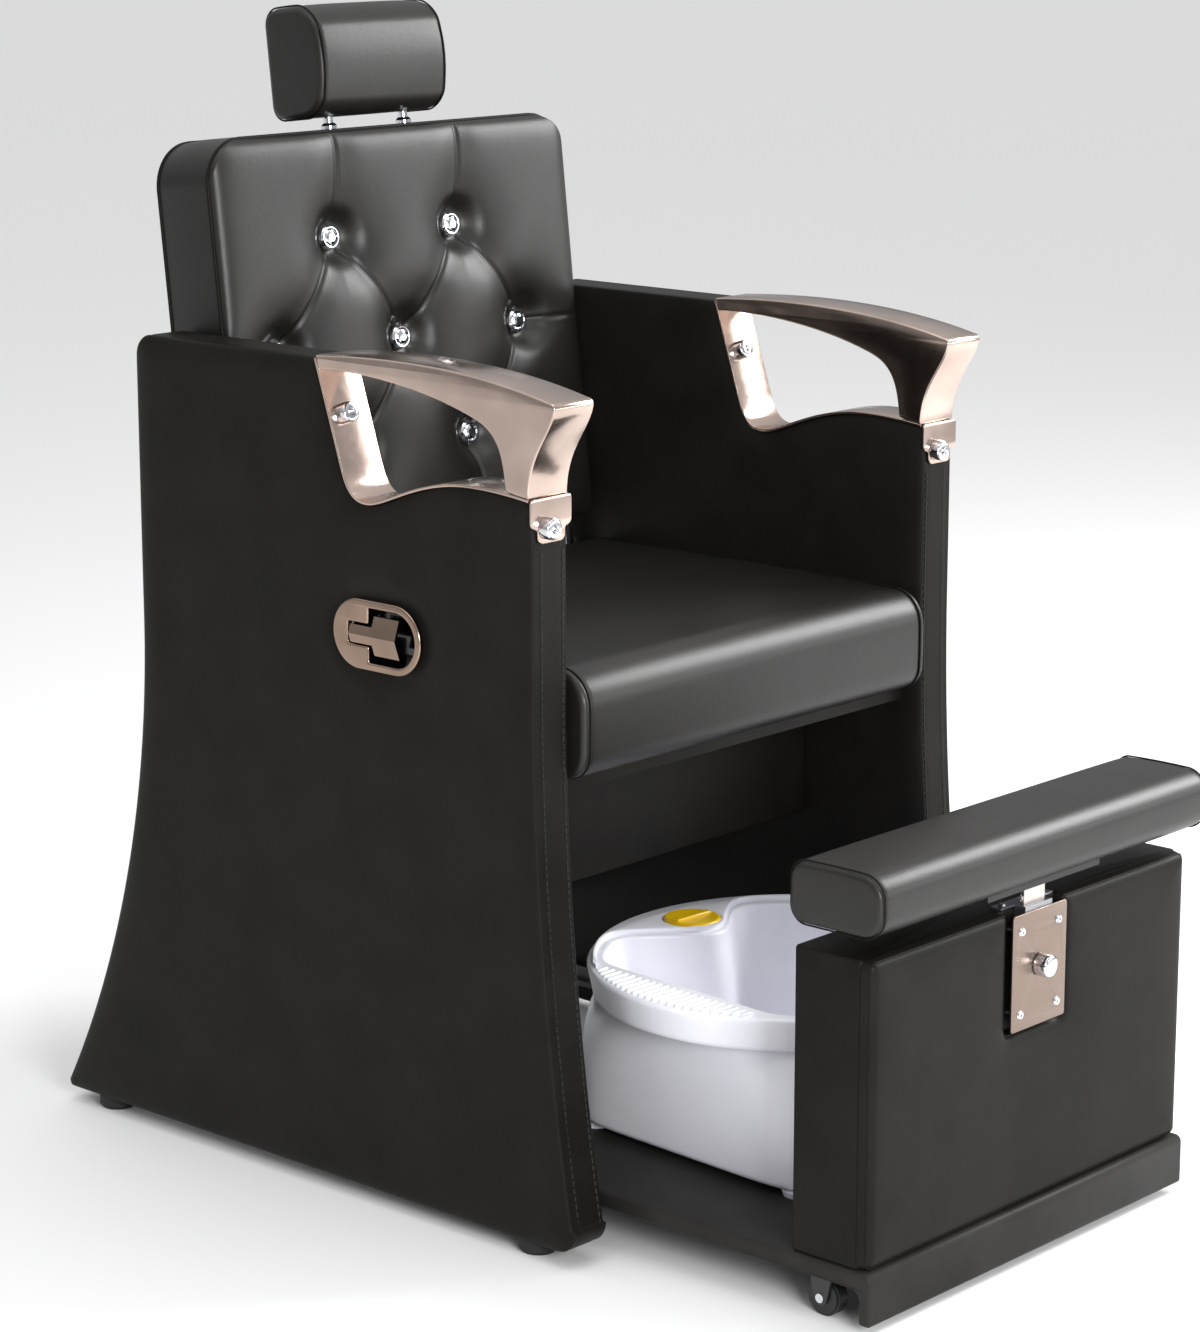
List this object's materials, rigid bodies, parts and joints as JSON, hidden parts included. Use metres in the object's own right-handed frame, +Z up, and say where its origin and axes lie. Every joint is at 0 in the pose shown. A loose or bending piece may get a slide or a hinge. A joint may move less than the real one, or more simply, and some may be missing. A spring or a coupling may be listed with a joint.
{
  "type": "pedicure spa chair",
  "caption": "Upholstered pedicure chair with chromed arms, a reclining tufted back, a sliding headrest and a rolling footrest tray that carries a foot basin.",
  "frame": {"origin": "middle of the footprint, on the floor", "axes": "+Z up, the chair faces -Y, +X is on the right of a person who looks at its front"},
  "size_m": [0.6576, 1.0728, 1.1718],
  "materials": {
    "timber": "matte",
    "black_leather": "satin",
    "black_board": "satin",
    "rose_chrome": "polished",
    "rose_satin": "satin",
    "bright_chrome": "polished",
    "steel": "satin",
    "black_steel": "satin",
    "rubber": "matte",
    "black_plastic": "satin",
    "nylon": "matte",
    "white_abs": "gloss",
    "yellow_abs": "gloss",
    "crystal": "gloss"
  },
  "bodies": {
    "chair": {"side_frames": "timber", "side_cover_left": "black_leather", "side_cover_right": "black_leather", "arm_straps": "rose_chrome", "armrest_left": "rose_chrome", "armrest_right": "rose_chrome", "arm_bolts": "bright_chrome", "glide_feet": "rubber", "lever_plate": "rose_satin", "lever_cup": "black_plastic", "lever_pin": "steel", "release_cable": "rubber", "seat_cushion": "black_leather", "seat_board": "black_board", "seat_bearers": "timber", "apron": "black_leather", "rear_stretcher": "black_board", "hinge_plates": "steel", "hinge_pins": "steel", "strut_bracket": "steel", "tray_rails": "black_steel"},
    "lever": {"recline_lever": "rose_satin"},
    "backrest": {"back_cushion": "black_leather", "back_core": "black_leather", "back_bars": "steel", "button_rims": "bright_chrome", "button_crystals": "crystal", "headrest_sleeves": "bright_chrome"},
    "headrest": {"headrest_cushion": "black_leather", "headrest_posts": "bright_chrome"},
    "strut": {"strut_rod": "bright_chrome", "release_head": "black_steel"},
    "strut_tube": {"strut_cylinder": "black_steel"},
    "tray": {"tray_deck": "black_board", "tray_skirt": "black_board", "footrest_box": "black_leather", "footrest_front": "black_leather", "post_socket": "steel", "lock_plate": "rose_satin", "plate_screws": "bright_chrome", "tray_runners": "nylon", "caster_forks": "black_steel", "caster_axles": "bright_chrome"},
    "knob": {"lock_knob": "bright_chrome"},
    "pad": {"footrest_pad": "black_leather", "pad_bracket": "rose_satin"},
    "basin": {"basin_shell": "white_abs", "basin_tub": "white_abs", "basin_feet": "white_abs", "basin_heater": "steel", "basin_motor": "black_steel", "dial_switch": "black_plastic"},
    "dial": {"basin_dial": "yellow_abs"},
    "wheel_front_left": {"caster_wheel_front_left": "black_plastic"},
    "wheel_front_right": {"caster_wheel_front_right": "black_plastic"},
    "wheel_rear_left": {"caster_wheel_rear_left": "black_plastic"},
    "wheel_rear_right": {"caster_wheel_rear_right": "black_plastic"}
  },
  "joints": [
    {"name": "lever_pull", "type": "hinge", "parent": "chair", "child": "lever", "pos_m": [-0.31525, 0.0788, 0.589], "axis": [0, 0, -1], "range_deg": [0, 25], "stiffness_Nm_per_rad": 0.5, "springref_deg": -22.92},
    {"name": "recline", "type": "hinge", "parent": "chair", "child": "backrest", "pos_m": [0.00375, 0.3278, 0.557], "axis": [-1, 0, 0], "range_deg": [0, 40]},
    {"name": "headrest_lift", "type": "slide", "parent": "backrest", "child": "headrest", "axis": [0, 0.1132, 0.9936], "range_m": [0, 0.07]},
    {"name": "strut_swing", "type": "hinge", "parent": "chair", "child": "strut", "pos_m": [0.00375, 0.3768, 0.29], "axis": [-1, 0, 0], "range_deg": [0, 0.6]},
    {"name": "strut_stroke", "type": "slide", "parent": "strut", "child": "strut_tube", "axis": [0, 0, -1], "range_m": [0, 0.036]},
    {"name": "tray_roll", "type": "slide", "parent": "chair", "child": "tray", "axis": [0, -1, 0], "range_m": [-0.33, 0]},
    {"name": "knob_turn", "type": "hinge", "parent": "tray", "child": "knob", "pos_m": [0.00375, -0.5207, 0.3], "axis": [0, -1, 0], "range_deg": [0, 270]},
    {"name": "pad_lift", "type": "slide", "parent": "tray", "child": "pad", "axis": [0, 0, 1], "range_m": [0, 0.05]},
    {"name": "basin_lift", "type": "slide", "parent": "tray", "child": "basin", "axis": [0, 0, 1], "range_m": [0, 0.05]},
    {"name": "dial_turn", "type": "hinge", "parent": "basin", "child": "dial", "pos_m": [0.03389, -0.05903, 0.246], "axis": [0, 0, 1], "range_deg": [0, 270]},
    {"name": "roll_front_left", "type": "hinge", "parent": "tray", "child": "wheel_front_left", "pos_m": [-0.23025, -0.4562, 0.019], "axis": [1, 0, 0], "continuous": true},
    {"name": "roll_front_right", "type": "hinge", "parent": "tray", "child": "wheel_front_right", "pos_m": [0.23775, -0.4562, 0.019], "axis": [1, 0, 0], "continuous": true},
    {"name": "roll_rear_left", "type": "hinge", "parent": "tray", "child": "wheel_rear_left", "pos_m": [-0.23025, -0.0642, 0.019], "axis": [1, 0, 0], "continuous": true},
    {"name": "roll_rear_right", "type": "hinge", "parent": "tray", "child": "wheel_rear_right", "pos_m": [0.23775, -0.0642, 0.019], "axis": [1, 0, 0], "continuous": true}
  ],
  "couplings": [
    {"joint": "strut_swing", "follows": "recline", "ratio": 0.01417},
    {"joint": "strut_stroke", "follows": "recline", "m_per_rad": 0.05082},
    {"joint": "roll_front_left", "follows": "tray_roll", "rad_per_m": 52.632},
    {"joint": "roll_front_right", "follows": "tray_roll", "rad_per_m": 52.632},
    {"joint": "roll_rear_left", "follows": "tray_roll", "rad_per_m": 52.632},
    {"joint": "roll_rear_right", "follows": "tray_roll", "rad_per_m": 52.632}
  ]
}
